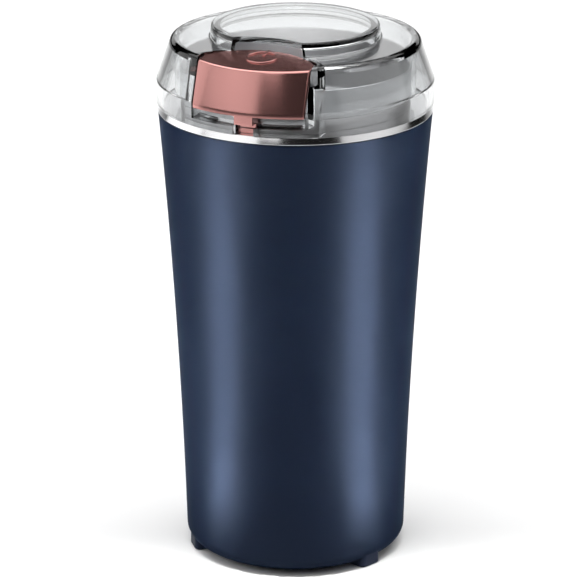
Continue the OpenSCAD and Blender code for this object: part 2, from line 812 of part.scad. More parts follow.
// ---- Motor, turning parts ----

// Shaft with a thinner end that takes the blade and its nut
module motor_shaft() {
    color("silver") {
        translate([0, 0, shaft_low_z]) cylinder(r = shaft_r, h = blade_z - shaft_low_z);
        translate([0, 0, blade_z - 1]) cylinder(r = stud_r, h = stud_top_z - blade_z + 1);
    }
}

module armature_core() {
    color([0.5, 0.5, 0.52]) translate([0, 0, core_z]) difference() {
        cylinder(r = armature_r, h = stator_h);
        translate([0, 0, -1]) cylinder(r = shaft_r + fit, h = stator_h + 2);
        armature_slots(0, stator_h, 0.15);
    }
}

module armature_slots(z, h, grow) {
    for (i = [0:slot_count - 1]) rotate(i * 360 / slot_count)
        translate([(9 + armature_r) / 2, 0, z - (grow > 0 ? 1 : 0)])
            centred_box(armature_r - 9 + 2 * grow + 1, 2.4 + 2 * grow, h + (grow > 0 ? 2 : 0));
}

// Windings: wire in the slots and a wound head at each end
module armature_windings() {
    head = coil_over - 0.5;
    color([0.72, 0.4, 0.2]) {
        intersection() {
            translate([0, 0, core_z]) armature_slots(-0.5, stator_h + 1, 0);
            cylinder(r = winding_r, h = chassis_z);
        }
        for (z = [core_z - head, core_top_z + 0.3]) translate([0, 0, z]) rotate_extrude()
            polygon(concat([[shaft_r + 0.6, 0]], arc([winding_r - 2, 2], 2, -90, 0, 4),
                           arc([winding_r - 2, head - 2.3], 2, 0, 90, 4),
                           [[shaft_r + 0.6, head - 0.3]]));
    }
}

// Commutator: an insulating sleeve with copper bars
module commutator() {
    color([0.75, 0.45, 0.25]) translate([0, 0, commutator_z]) difference() {
        union() {
            cylinder(r = commutator_r, h = commutator_h);
            translate([0, 0, commutator_h - 1.5]) cylinder(r = commutator_r + 1.4, h = 1.5);
        }
        translate([0, 0, -1]) cylinder(r = shaft_r + fit, h = commutator_h + 2);
        for (i = [0:bar_count - 1]) rotate(i * 360 / bar_count)
            translate([commutator_r, 0, -1]) centred_box(1.4, 0.5, commutator_h - 0.5);
    }
}

module cooling_fan() {
    color([0.85, 0.86, 0.84]) translate([0, 0, fan_z]) difference() {
        union() {
            cylinder(r = fan_r, h = 1.2);
            cylinder(r = 6.5, h = fan_h);
            for (i = [0:fan_blades - 1]) rotate(i * 360 / fan_blades) translate([6, 0, 0])
                rotate(18) translate([0, -0.5, 0.6]) cube([fan_r - 8, 1, fan_h - 1]);
        }
        translate([0, 0, -1]) cylinder(r = shaft_r + fit, h = fan_h + 2);
    }
}

module blade_spacer() {
    color("silver") translate([0, 0, spacer_z]) tube(7, shaft_r + fit, blade_z - spacer_z);
}

// Blade of hardened sheet with one tip bent up and the other down
module blade() {
    flat = blade_len - blade_tip;
    color("silver") translate([0, 0, blade_z]) difference() {
        union() {
            cylinder(r = nut_r + 0.8, h = blade_t);
            for (s = [0, 1]) rotate(s * 180) {
                translate([0, -blade_w / 2, 0]) cube([flat, blade_w, blade_t]);
                translate([flat, 0, blade_t / 2]) rotate([0, s == 0 ? -blade_bend : blade_bend, 0])
                    translate([-0.2, 0, -blade_t / 2]) linear_extrude(blade_t)
                        polygon([[0, -blade_w / 2], [blade_tip - 3, -blade_w / 2],
                                 [blade_tip, 0.5], [blade_tip - 1, blade_w / 2],
                                 [0, blade_w / 2]]);
            }
        }
        translate([0, 0, -1]) cylinder(r = stud_r + fit, h = blade_t + 2);
    }
}

module blade_washer() {
    color("silver") translate([0, 0, blade_z + blade_t])
        tube(nut_r, stud_r + fit, washer_t);
}

// Domed nut on the shaft's end
module blade_nut() {
    dome_z = blade_z + blade_t + washer_t;
    color("silver") translate([0, 0, dome_z]) difference() {
        union() {
            cylinder(r = nut_r, h = nut_h, $fn = 6);
            translate([0, 0, nut_h - 2.5]) intersection() {
                sphere(r = nut_r * 0.82);
                cylinder(r = nut_r, h = nut_r);
            }
        }
        translate([0, 0, -1]) cylinder(r = stud_r + fit, h = stud_top_z - dome_z + 1.2);
    }
}

// ---- Lid ----

module lid_outside() {
    rotate_extrude() polygon(concat(
        [[0, lid_z], [lid_r, lid_z], [lid_r, band_z]],
        arc([shoulder_r + 0.25 - shoulder_round, shoulder_z - shoulder_round],
            shoulder_round, 15, 90, 6),
        [[disc_r, shoulder_z]],
        arc([disc_r - disc_round - 0.6, disc_z - disc_round], disc_round, 5, 90, 5),
        [[0, disc_z]]));
}

module lid_inside() {
    rotate_extrude() polygon([
        [0, lid_z - 1], [lid_r - lid_wall, lid_z - 1], [lid_r - lid_wall, band_z - 0.4],
        [shoulder_r - lid_wall + 0.3, shoulder_z - lid_wall],
        [disc_r - lid_wall, shoulder_z - lid_wall], [disc_r - lid_wall - 0.6, disc_z - lid_wall],
        [0, disc_z - lid_wall]]);
}

// Outline of the button's recess from above, grown to the sides and to the back
module pocket_plan(side, back) {
    intersection() {
        translate([0, arc_y]) circle(pocket_arc_r + back);
        translate([-pocket_half_w - side, -2 * lid_r]) square([2 * (pocket_half_w + side), 2 * lid_r]);
    }
}

// Room around the inner skirt, from the sill up, in front of the bowl's collar
module pocket_front(side, low_z, high_z) {
    translate([0, 0, low_z]) linear_extrude(high_z - low_z) difference() {
        translate([-pocket_half_w - side, -2 * lid_r])
            square([2 * (pocket_half_w + side), 2 * lid_r - skirt_in_r / 2]);
        circle(skirt_out_r - (side > 0 ? skirt_t / 2 : 0));
    }
}

// Clear lid: outer wall, inner skirt over the bowl's collar, recess with ribs for the button
module lid() {
    floor_z = pocket_floor_z - pocket_floor_t;
    color([0.85, 0.9, 0.95, 0.35]) difference() {
        union() {
            difference() {
                lid_outside();
                lid_inside();
            }
            intersection() {
                lid_outside();
                union() {
                    translate([0, 0, floor_z]) linear_extrude(disc_z - floor_z)
                        pocket_plan(rib_t, lid_wall);
                    pocket_front(rib_t, lid_z, disc_z);
                    translate([0, 0, skirt_low_z])
                        tube(skirt_out_r, skirt_in_r, shoulder_z - lid_wall - skirt_low_z + 0.1);
                    for (s = [-1, 1]) translate([s * button_spring_x, button_spring_y,
                                                 well_z - pocket_floor_t])
                        cylinder(r = well_r + 1, h = well_depth + pocket_floor_t);
                }
            }
        }
        translate([0, 0, pocket_floor_z]) linear_extrude(disc_z) pocket_plan(0, 0);
        pocket_front(0, sill_z, disc_z + 1);
        translate([-tab_w / 2 - slip, -2 * lid_r, lid_z - 1])
            cube([tab_w + 2 * slip, 2 * lid_r - skirt_out_r - 0.1, 10]);
        for (s = [-1, 1]) {
            translate([s * button_spring_x, button_spring_y, well_z])
                cylinder(r = well_r, h = 20);
            translate([s * clip_x, clip_y, floor_z - 1])
                centred_box(clip[0] + 2 * slip, clip[1] + 2 * slip, 20);
        }
    }
}

// ---- Button ----

// Wedge that cuts the button's top to its slope
module button_slope(drop) {
    front_y = -cone_r(button_front_z);
    angle = atan(button_rise / (-pocket_back - front_y));
    translate([-2 * lid_r, front_y, button_front_z - drop]) rotate([angle, 0, 0])
        translate([0, -20, 0]) cube([4 * lid_r, 80, 40]);
}

module button_body(inset, low_z) {
    intersection() {
        translate([0, 0, low_z]) linear_extrude(disc_z) intersection() {
            translate([0, arc_y]) circle(pocket_arc_r - button_gap - inset);
            translate([-pocket_half_w + button_gap + inset, -2 * lid_r])
                square([2 * (pocket_half_w - button_gap - inset), 2 * lid_r]);
        }
        rotate_extrude() polygon([
            [0, lid_z], [lid_r - inset, lid_z], [lid_r - inset, band_z],
            [cone_r(shoulder_z + 6) - inset, shoulder_z + 6], [0, shoulder_z + 6]]);
    }
}

// Press button: sloped top, curved front, sides, tab to the rod, studs and snap legs
module button() {
    floor_z = pocket_floor_z - pocket_floor_t;
    barb_z = floor_z - slip;
    color([0.72, 0.47, 0.44]) {
        difference() {
            button_body(0, button_low_z);
            button_slope(0);
            difference() {
                button_body(button_t, button_low_z - 1);
                button_slope(button_t);
            }
            translate([0, 0, button_low_z - 1])
                cylinder(r = skirt_out_r + 0.5, h = button_under_z - button_low_z + 1);
        }
        intersection() {
            button_body(0.1, tab_front_z);
            translate([0, 0, tab_front_z]) centred_box(tab_w, 2 * lid_r, 6);
            translate([-tab_w, -2 * lid_r, 0])
                cube([2 * tab_w, 2 * lid_r - tab_out + tab_t, disc_z]);
        }
        translate([0, -tab_out + tab_t / 2, tab_low_z])
            centred_box(tab_w, tab_t, tab_front_z + 6 - tab_low_z);
        for (s = [-1, 1]) {
            translate([s * button_spring_x, button_spring_y, stud_z])
                cylinder(r = button_spring_r - 0.3, h = button_t);
            translate([s * clip_x, clip_y, barb_z - barb_h])
                centred_box(clip[0], clip[1], button_front_z - barb_z + barb_h);
            translate([s * clip_x, clip_y + clip[1] / 2, barb_z - barb_h])
                centred_box(clip[0], 2, barb_h);
        }
        button_sign();
    }
}

// Raised ring and stroke on the button's top
module button_sign() {
    front_y = -cone_r(button_front_z);
    angle = atan(button_rise / (-pocket_back - front_y));
    h = 0.4;
    translate([0, front_y, button_front_z]) rotate([angle, 0, 0])
        translate([0, sign_y - front_y, -0.3]) {
            tube(sign_r, sign_r - 0.8, 0.3 + h);
            translate([0, sign_r - 1.2, 0]) centred_box(0.9, 5, 0.3 + h);
        }
}

module button_spring(side) {
    color("silver") translate([side * button_spring_x, button_spring_y, well_z + 0.05])
        spring(button_spring_r - 0.2, button_wire, stud_z - well_z - 0.1, 4);
}

body_shell();
base_cover();
base_screws();
foot(foot_angles[0]);  // foot_left
foot(foot_angles[1]);  // foot_right
foot(foot_angles[2]);  // foot_rear
cord_gland();
trim_ring();
bowl();
bowl_nut();
shaft_seal();
chassis();
chassis_screws();
damper(180);  // damper_left
damper(0);  // damper_right
damper(-90);  // damper_front
damper(90);  // damper_rear
mount_screws();
upper_bracket();
bearing(top_bearing_z);  // upper_bearing
lower_bracket();
bearing(low_bearing_z);  // lower_bearing
motor_bolts();
stator_core();
field_coil(-1);  // field_coil_front
field_coil(1);  // field_coil_rear
brush_holder(-1);  // brush_holder_front
brush_holder(1);  // brush_holder_rear
carbon_brush(-1);  // carbon_brush_front
carbon_brush(1);  // carbon_brush_rear
brush_spring(-1);  // brush_spring_front
brush_spring(1);  // brush_spring_rear
circuit_board();
board_screws();
bridge_rectifier();
film_capacitor();
thermal_fuse();
micro_switch();
switch_bracket();
switch_screws();
rod_spring();
motor_shaft();
armature_core();
armature_windings();
commutator();
cooling_fan();
blade_spacer();
blade();
blade_washer();
blade_nut();
lid();
button_spring(-1);  // button_spring_left
button_spring(1);  // button_spring_right
button();
push_rod();
switch_lever();
switch_key();
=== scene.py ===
"""Looks of the electric spice grinder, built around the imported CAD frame. Sizes are in millimetres, and
solids are scaled to metres when they are made. The button faces -Y."""

import math

import bmesh
import bpy
from mathutils import Matrix, Vector
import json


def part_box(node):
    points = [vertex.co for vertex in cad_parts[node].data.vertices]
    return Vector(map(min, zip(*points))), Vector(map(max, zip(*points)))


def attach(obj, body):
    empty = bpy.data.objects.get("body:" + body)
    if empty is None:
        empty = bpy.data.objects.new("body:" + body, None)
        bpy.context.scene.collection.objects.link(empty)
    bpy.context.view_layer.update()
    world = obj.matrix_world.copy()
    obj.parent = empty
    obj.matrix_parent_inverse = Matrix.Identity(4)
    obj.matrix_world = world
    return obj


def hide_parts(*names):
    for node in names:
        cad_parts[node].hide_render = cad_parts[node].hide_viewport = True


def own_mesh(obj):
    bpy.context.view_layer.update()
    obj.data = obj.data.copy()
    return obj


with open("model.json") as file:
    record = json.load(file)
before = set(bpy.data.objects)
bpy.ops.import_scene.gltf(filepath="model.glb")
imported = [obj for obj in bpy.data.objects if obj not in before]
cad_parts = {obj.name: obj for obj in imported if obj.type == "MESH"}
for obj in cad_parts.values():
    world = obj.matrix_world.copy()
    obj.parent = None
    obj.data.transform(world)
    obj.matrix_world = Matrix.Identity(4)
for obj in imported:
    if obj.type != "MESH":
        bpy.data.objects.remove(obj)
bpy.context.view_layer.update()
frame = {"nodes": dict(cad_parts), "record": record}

MM = 0.001
TURN = 128                      # segments of a full turn
SHELL_TURN, BOWL_TURN = 192, 160
BEYOND = 60.0                   # reach of a cutting shape past the outside, mm

# ---- The photograph's view ----

CAMERA_AZIMUTH = 21.5           # degrees from the front towards +X
CAMERA_REACH = 1088.5           # distance from the object's axis, mm
CAMERA_HEIGHT = 467.9
CAMERA_PITCH = 19.02            # degrees downwards
FOCAL_PX = 3304.2               # focal length in pixels of the photograph
FRAME_PX = 580
AXIS_PX = 295.5                 # the axis's column in the photograph
SENSOR = 36.0

# ---- Sizes, as in the CAD source ----

RING_Z, RING_TOP_Z = 159.0, 161.4
RING_PROUD, RING_T, RING_LIP_H = 0.2, 0.8, 3.0
COLLAR_R, COLLAR_TOP_Z = 39.2, 175.35
BOWL_R, BOWL_FLOOR_Z, BOWL_T, BOWL_ROUND = 34.983, 118.0, 0.8, 9.0
BOWL_HOLE_R, BOWL_RIM_R = 6.5, 41.0
NECK_Z = (150.0, 157.0)         # where the bowl widens to its collar
LID_Z = 161.5
LID_R, BAND_Z = 47.4, 169.7
SHOULDER_R, SHOULDER_Z = 42.3, 184.2
DISC_R, DISC_Z = 29.2, 188.7
DISC_DRAFT = 0.6
LID_WALL = 2.2
SKIRT_IN_R, SKIRT_OUT_R = 39.6, 40.8
SKIRT_LOW_Z = 166.0
RIB = 3.2
SILL_Z = 164.3
RECESS_HALF, RECESS_R, RECESS_BACK = 20.3, 26.0, 22.7
RECESS_Y = -RECESS_BACK - RECESS_R
RECESS_FLOOR_Z, RECESS_FLOOR = 177.05, 1.2
WELL = (8.0, -31.0, 2.95, 2.5)  # x, y, radius and depth of a spring's well
CLIP = (14.5, -30.5, 2.0, 3.0)  # x, y and section of a snap leg
SLIP = 0.35
TAB_W, TAB_T, TAB_OUT = 6.6, 2.0, 43.8
BUTTON_GAP, BUTTON_T = 0.4, 2.2
BUTTON_LOW_Z, BUTTON_FRONT_Z = 167.9, 182.6
BUTTON_RISE = 2.0
TAB_FRONT_Z, TAB_LOW_Z = 165.0, 163.45
SIGN_R, SIGN_Y = 5.4, -30.4
BODY_FOOT_R, BODY_TOP_R = 38.4, 47.0
BODY_LOW_Z, FLARE_SHARE = 2.0, 0.44
SHELL_WALL, BASE_ROUND = 1.8, 5.0
BASE_OPEN_R = 33.0
COVER_Z = 2.2                   # underside of the base cover
GLAND_Z, GLAND_HOLE_R = 15.0, 4.55
CORD_HOLE_Y, CORD_HOLE_LEN = 30.0, 20
FOOT_TURN = 6.5                 # turn of the three feet about the axis, degrees
FOOT_ANGLES = {"foot_left": FOOT_TURN - 150, "foot_right": FOOT_TURN - 30, "foot_rear": FOOT_TURN + 90}
FOOT_OUT_R, FOOT_LEN, FOOT_W, FOOT_H = 37.7, 9.0, 9.0, 6.0
NOTCH_GAP = 0.12                # room around a foot in the housing
STUD_R = 2.3                    # of the studs that stand on the button's springs

# ---- Floor and light, in metres, watts, and degrees to the right of the camera ----

FLOOR_SIZE, FLOOR_WHITE = 12.0, 0.95
SKY_LIGHT, SKY_DARK = 0.5, 0.003            # strength overhead and lower down
SKY_FROM, SKY_TO = 0.45, 0.9                # heights between which it changes
OPEN_SPREAD, CARD_SPREAD = 180, 130         # spread of the soft panels and of the cards
BACK_SIZE, BACK_W = (2.6, 1.2), 12.0
TOP_HEIGHT, TOP_SIZE, TOP_W = 1.3, (1.8, 1.8), 12.5
POOL_HEIGHT = 0.8
POOL_SIDES = (("left", -66, 1.08), ("right", 60, 1.2))      # side, angle, share of the power
NEAR_POOL, NEAR_W = (0.13, (0.03, 0.09), 3), 0.7            # reach from the axis, size, spread
FAR_POOL, FAR_W = (0.31, (0.09, 0.22), 7), 4.5
BASE_POOL, BASE_W, BASE_TILT = (0.05, (0.34, 0.03), 6), 0.06, 15
CARDS = (                                   # name, angle, reach, height, size, height aimed at, power
    ("left_card", -56, 0.8, 0.5, (0.75, 0.4), 0.175, 0.56),
    ("mid_card", -22, 0.8, 0.69, (0.25, 0.3), 0.175, 0.25),
    ("far_left_card", -105, 0.8, 0.3, (0.7, 0.6), 0.175, 0.84),
    ("right_card", 73, 0.8, 0.5, (1.1, 0.4), 0.175, 0.56),
    ("back_card", 180, 1.3, 0.48, (1.6, 0.28), 0.185, 0.7),
)
GLOW_Z, GLOW_R, GLOW_W = 0.178, 0.008, 0.01


# ---- Shape tools ----

def arc(mid, r, start, end, n):
    """Points of an arc about mid, from one angle to another, in degrees."""
    return [(mid[0] + r * math.cos(math.radians(start + (end - start) * i / n)),
             mid[1] + r * math.sin(math.radians(start + (end - start) * i / n))) for i in range(n + 1)]


def rounded(points, radii, n=6):
    """The polyline with its corners rounded: radii holds one radius per point, 0 for a sharp one."""
    out = []
    for i, (p, r) in enumerate(zip(points, radii)):
        if not r:
            out.append(p)
            continue
        p = Vector(p)
        a = (Vector(points[i - 1]) - p).normalized()
        b = (Vector(points[(i + 1) % len(points)]) - p).normalized()
        half = a.angle(b) / 2
        reach = r / math.tan(half)
        mid = p + (a + b).normalized() * r / math.sin(half)
        start, end = p + a * reach - mid, p + b * reach - mid
        for k in range(n + 1):
            out.append(tuple(mid + start.slerp(end, k / n) * r))
    return out


def new_object(name, bm):
    mesh = bpy.data.meshes.new(name)
    bm.to_mesh(mesh)
    bm.free()
    obj = bpy.data.objects.new(name, mesh)
    bpy.context.scene.collection.objects.link(obj)
    return obj


def revolve(name, profile, turn=TURN):
    """A closed solid from a closed (r, z) outline in mm. Points on the axis have r = 0."""
    bm = bmesh.new()
    rings = []
    for r, z in profile:
        if r < 1e-6:
            rings.append([bm.verts.new((0, 0, z * MM))] * turn)
            continue
        angles = [2 * math.pi * (k + 0.5) / turn for k in range(turn)]
        rings.append([bm.verts.new((r * math.cos(a) * MM, r * math.sin(a) * MM, z * MM)) for a in angles])
    for ring, after in zip(rings, rings[1:] + rings[:1]):
        for k in range(turn):
            corners = []
            for v in (ring[k], ring[(k + 1) % turn], after[(k + 1) % turn], after[k]):
                if v not in corners:
                    corners.append(v)
            if len(corners) > 2:
                bm.faces.new(corners)
    bmesh.ops.recalc_face_normals(bm, faces=bm.faces)
    return new_object(name, bm)


def prism(name, outline, low, high):
    """A closed solid: an outline in mm, seen from above, pulled up from low to high."""
    bm = bmesh.new()
    rows = [[bm.verts.new((x * MM, y * MM, z * MM)) for x, y in outline] for z in (low, high)]
    bm.faces.new(rows[0][::-1])
    bm.faces.new(rows[1])
    for i in range(len(outline)):
        j = (i + 1) % len(outline)
        bm.faces.new((rows[0][i], rows[0][j], rows[1][j], rows[1][i]))
    bmesh.ops.recalc_face_normals(bm, faces=bm.faces)
    return new_object(name, bm)


def box(name, low, high):
    return prism(name, [(low[0], low[1]), (high[0], low[1]), (high[0], high[1]), (low[0], high[1])],
                 low[2], high[2])


def disc_outline(x, y, r, n=32):
    return [(x + r * math.cos(2 * math.pi * k / n), y + r * math.sin(2 * math.pi * k / n)) for k in range(n)]


def apply_modifiers(obj):
    graph = bpy.context.evaluated_depsgraph_get()
    done = bpy.data.meshes.new_from_object(obj.evaluated_get(graph))
    obj.modifiers.clear()
    old = obj.data
    obj.data = done
    bpy.data.meshes.remove(old)


def combine(obj, other, how):
    """obj becomes its union with, difference from or intersection with other, which goes."""
    step = obj.modifiers.new("combine", "BOOLEAN")
    step.operation = how
    step.solver = "MANIFOLD"
    step.object = other
    bpy.context.view_layer.update()
    apply_modifiers(obj)
    bpy.data.objects.remove(other)
    return obj


def cut(obj, *others):
    for other in others:
        combine(obj, other, "DIFFERENCE")
    return obj


def add(obj, *others):
    for other in others:
        combine(obj, other, "UNION")
    return obj


def keep_within(obj, other):
    return combine(obj, other, "INTERSECT")


def clean(obj, gap=0.01):
    """Merges corners that lie closer than gap mm."""
    bm = bmesh.new()
    bm.from_mesh(obj.data)
    bmesh.ops.remove_doubles(bm, verts=bm.verts, dist=gap * MM)
    bmesh.ops.dissolve_degenerate(bm, dist=gap * MM, edges=bm.edges)
    bmesh.ops.recalc_face_normals(bm, faces=bm.faces)
    bm.to_mesh(obj.data)
    bm.free()


def soften(obj, width, angle=40, segments=3, where=None):
    """Rounds the edges sharper than angle, all of them or those whose middle passes where(x, y, z) in mm."""
    bm = bmesh.new()
    bm.from_mesh(obj.data)
    edges = []
    for edge in bm.edges:
        if len(edge.link_faces) != 2 or edge.calc_face_angle(0) < math.radians(angle):
            continue
        mid = (edge.verts[0].co + edge.verts[1].co) / (2 * MM)
        if where is None or where(*mid):
            edges.append(edge)
    bmesh.ops.bevel(bm, geom=edges, offset=width * MM, offset_type="OFFSET", segments=segments,
                    profile=0.5, affect="EDGES", clamp_overlap=True, miter_outer="ARC", spread=0.1 * MM)
    bm.to_mesh(obj.data)
    bm.free()
    return obj


def smooth(obj, angle=35):
    for face in obj.data.polygons:
        face.use_smooth = True
    obj.data.set_sharp_from_angle(angle=math.radians(angle))


# ---- Materials ----

def nodes_of(name):
    mat = bpy.data.materials.new(name)
    mat.use_nodes = True
    shader = mat.node_tree.nodes["Principled BSDF"]
    return mat, mat.node_tree.nodes, mat.node_tree.links, shader


def mixed_noise(nodes, links, scale, low, high, detail=3.0, stretch=(1, 1, 1)):
    """Noise in object space: first mapped to go from low to high, then as it is."""
    place = nodes.new("ShaderNodeTexCoord")
    mapping = nodes.new("ShaderNodeMapping")
    mapping.inputs["Scale"].default_value = stretch
    noise = nodes.new("ShaderNodeTexNoise")
    noise.inputs["Scale"].default_value = scale
    noise.inputs["Detail"].default_value = detail
    span = nodes.new("ShaderNodeMapRange")
    span.inputs["To Min"].default_value = low
    span.inputs["To Max"].default_value = high
    links.new(place.outputs["Object"], mapping.inputs["Vector"])
    links.new(mapping.outputs["Vector"], noise.inputs["Vector"])
    links.new(noise.outputs["Fac"], span.inputs["Value"])
    return span.outputs["Result"], noise.outputs["Fac"]


def add_relief(nodes, links, shader, height, strength, distance):
    """Bends the shader's normals by a height, whose full span is distance metres."""
    relief = nodes.new("ShaderNodeBump")
    relief.inputs["Strength"].default_value = strength
    relief.inputs["Distance"].default_value = distance
    links.new(height, relief.inputs["Height"])
    links.new(relief.outputs["Normal"], shader.inputs["Normal"])


def surface(name, color, rough, metal=0.0, vary=0.06, rough_vary=0.04, grain=900.0, bump=0.02,
            coat=0.0, coat_rough=0.1, specular=0.5, tint=(1, 1, 1), stretch=(1, 1, 1)):
    """A moulded, cast or drawn surface: slow colour drift, uneven gloss and a fine grain."""
    mat, nodes, links, shader = nodes_of(name)
    drift, _ = mixed_noise(nodes, links, 35.0, 0.0, 1.0)
    tone = nodes.new("ShaderNodeMix")
    tone.data_type = "RGBA"
    tone.inputs["A"].default_value = (*[c * (1 - vary) for c in color], 1)
    tone.inputs["B"].default_value = (*[min(1, c * (1 + vary)) for c in color], 1)
    links.new(drift, tone.inputs["Factor"])
    links.new(tone.outputs["Result"], shader.inputs["Base Color"])
    gloss, fine = mixed_noise(nodes, links, grain, rough - rough_vary, rough + rough_vary, 2.0, stretch)
    links.new(gloss, shader.inputs["Roughness"])
    if bump:
        add_relief(nodes, links, shader, fine, bump, 0.0002)
    shader.inputs["Metallic"].default_value = metal
    shader.inputs["Specular IOR Level"].default_value = specular
    shader.inputs["Specular Tint"].default_value = (*tint, 1)
    shader.inputs["Coat Weight"].default_value = coat
    shader.inputs["Coat Roughness"].default_value = coat_rough
    return mat


def clear_plastic():
    """Clear moulding: faint grey tint, greyer with depth, and faint unevenness of the polish."""
    mat, nodes, links, shader = nodes_of("clear_plastic_look")
    shader.inputs["Base Color"].default_value = (0.97, 0.98, 0.985, 1)
    shader.inputs["Transmission Weight"].default_value = 1.0
    shader.inputs["IOR"].default_value = 1.49
    gloss, fine = mixed_noise(nodes, links, 60.0, 0.0, 0.03)
    links.new(gloss, shader.inputs["Roughness"])
    add_relief(nodes, links, shader, fine, 0.03, 0.0005)
    depth = nodes.new("ShaderNodeVolumeAbsorption")
    depth.inputs["Color"].default_value = (0.1, 0.12, 0.13, 1)
    depth.inputs["Density"].default_value = 20.0
    links.new(depth.outputs["Volume"], nodes["Material Output"].inputs["Volume"])
    return mat


NAVY_EDGE = (0.41, 0.48, 0.61)   # tint of what the lacquer mirrors at its edges

LOOKS = {
    "navy_plastic": surface("navy_look", (0.0058, 0.0096, 0.0195), 0.41, metal=0.4, specular=0.0,
                            tint=NAVY_EDGE, grain=2200, bump=0.012, coat=0.06, coat_rough=0.42),
    "cover_plastic": surface("cover_look", (0.03, 0.037, 0.065), 0.55, grain=1500, bump=0.08),
    "foot_rubber": surface("foot_look", (0.012, 0.017, 0.034), 0.5, specular=0.15, tint=NAVY_EDGE, grain=1500,
                           bump=0.1),
    "chrome": surface("chrome_look", (0.88, 0.88, 0.89), 0.15, metal=1.0, vary=0.01, rough_vary=0.02,
                      grain=300, bump=0.0),
    "bowl_steel": surface("bowl_look", (0.58, 0.58, 0.59), 0.33, metal=0.92, vary=0.03, rough_vary=0.06,
                          grain=120, bump=0.01, stretch=(1, 1, 12)),
    "clear_plastic": clear_plastic(),
    "rose_plastic": surface("rose_look", (0.55, 0.26, 0.24), 0.2, metal=0.93, vary=0.02,
                            rough_vary=0.03, grain=2500, bump=0.008, coat=0.2),
    "black_rubber": surface("rubber_look", (0.03, 0.03, 0.03), 0.7, grain=1200, bump=0.15),
    "grey_plastic": surface("grey_look", (0.45, 0.46, 0.48), 0.5, grain=1500, bump=0.05),
    "black_plastic": surface("black_look", (0.025, 0.025, 0.028), 0.4, grain=1500, bump=0.05),
    "fan_plastic": surface("fan_look", (0.7, 0.71, 0.67), 0.45, grain=1500, bump=0.05),
    "key_plastic": surface("key_look", (0.6, 0.07, 0.04), 0.35, grain=1500, bump=0.03),
    "cast_alloy": surface("cast_look", (0.55, 0.56, 0.58), 0.45, metal=1.0, vary=0.1, grain=700, bump=0.2),
    "zinc_steel": surface("zinc_look", (0.6, 0.61, 0.63), 0.3, metal=1.0, vary=0.08, grain=900, bump=0.05),
    "spring_steel": surface("spring_look", (0.5, 0.51, 0.53), 0.25, metal=1.0, grain=900, bump=0.03),
    "lamination_steel": surface("core_look", (0.25, 0.25, 0.27), 0.45, metal=0.9, vary=0.12, grain=1500,
                                bump=0.3, stretch=(0.05, 0.05, 1)),
    "copper": surface("copper_look", (0.65, 0.28, 0.12), 0.3, metal=0.9, vary=0.12, grain=1600, bump=0.4,
                      stretch=(0.1, 0.1, 1)),
    "brass": surface("brass_look", (0.72, 0.53, 0.22), 0.3, metal=1.0, grain=900, bump=0.05),
    "carbon": surface("carbon_look", (0.03, 0.03, 0.03), 0.6, grain=1800, bump=0.2),
    "board_green": surface("board_look", (0.03, 0.17, 0.07), 0.35, grain=700, bump=0.05),
    "film_red": surface("film_look", (0.5, 0.06, 0.03), 0.25, grain=600, bump=0.05),
    "fuse_cream": surface("fuse_look", (0.7, 0.62, 0.42), 0.5, grain=900, bump=0.05),
}


def dress_frame():
    """Gives each CAD node the look of its material slot."""
    for part in frame["record"]["subparts"]:
        obj = frame["nodes"].get(part["node"])
        if obj is None:
            continue
        obj.data.materials.clear()
        obj.data.materials.append(LOOKS[part["material_slot"]])


def even_normals(obj):
    """Weights the normals by face area, so that flat faces stay flat beside their rounded edges."""
    step = obj.modifiers.new("normals", "WEIGHTED_NORMAL")
    step.mode = "FACE_AREA_WITH_ANGLE"
    step.keep_sharp = True
    bpy.context.view_layer.update()
    apply_modifiers(obj)


def finish_piece(obj, body, slot, *nodes):
    """Dresses a piece in its slot's look, hangs it on its body and hides the CAD nodes that it stands for."""
    obj.data.materials.clear()
    obj.data.materials.append(LOOKS[slot])
    smooth(obj)
    even_normals(obj)
    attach(obj, body)
    if nodes:
        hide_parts(*nodes)
    return obj


# ---- Housing ----

def body_r(z):
    """The housing's outer radius at a height."""
    u = (z - BODY_LOW_Z) / (RING_Z - BODY_LOW_Z)
    return BODY_FOOT_R + (BODY_TOP_R - BODY_FOOT_R) * (FLARE_SHARE * u + (1 - FLARE_SHARE) * u * u)


def foot_prism(name, angle, grow, low, high):
    """Upright block with rounded corners where a foot stands."""
    mid_r, half, side, r = FOOT_OUT_R - FOOT_LEN / 2, FOOT_LEN / 2 + grow, FOOT_W / 2 + grow, 2.0
    outline = []
    for sx, sy, start in ((1, 1, 0), (-1, 1, 90), (-1, -1, 180), (1, -1, 270)):
        outline += arc((mid_r + sx * (half - r), sy * (side - r)), r, start, start + 90, 6)
    obj = prism(name, outline, low, high)
    obj.data.transform(Matrix.Rotation(math.radians(angle), 4, "Z"))
    return obj


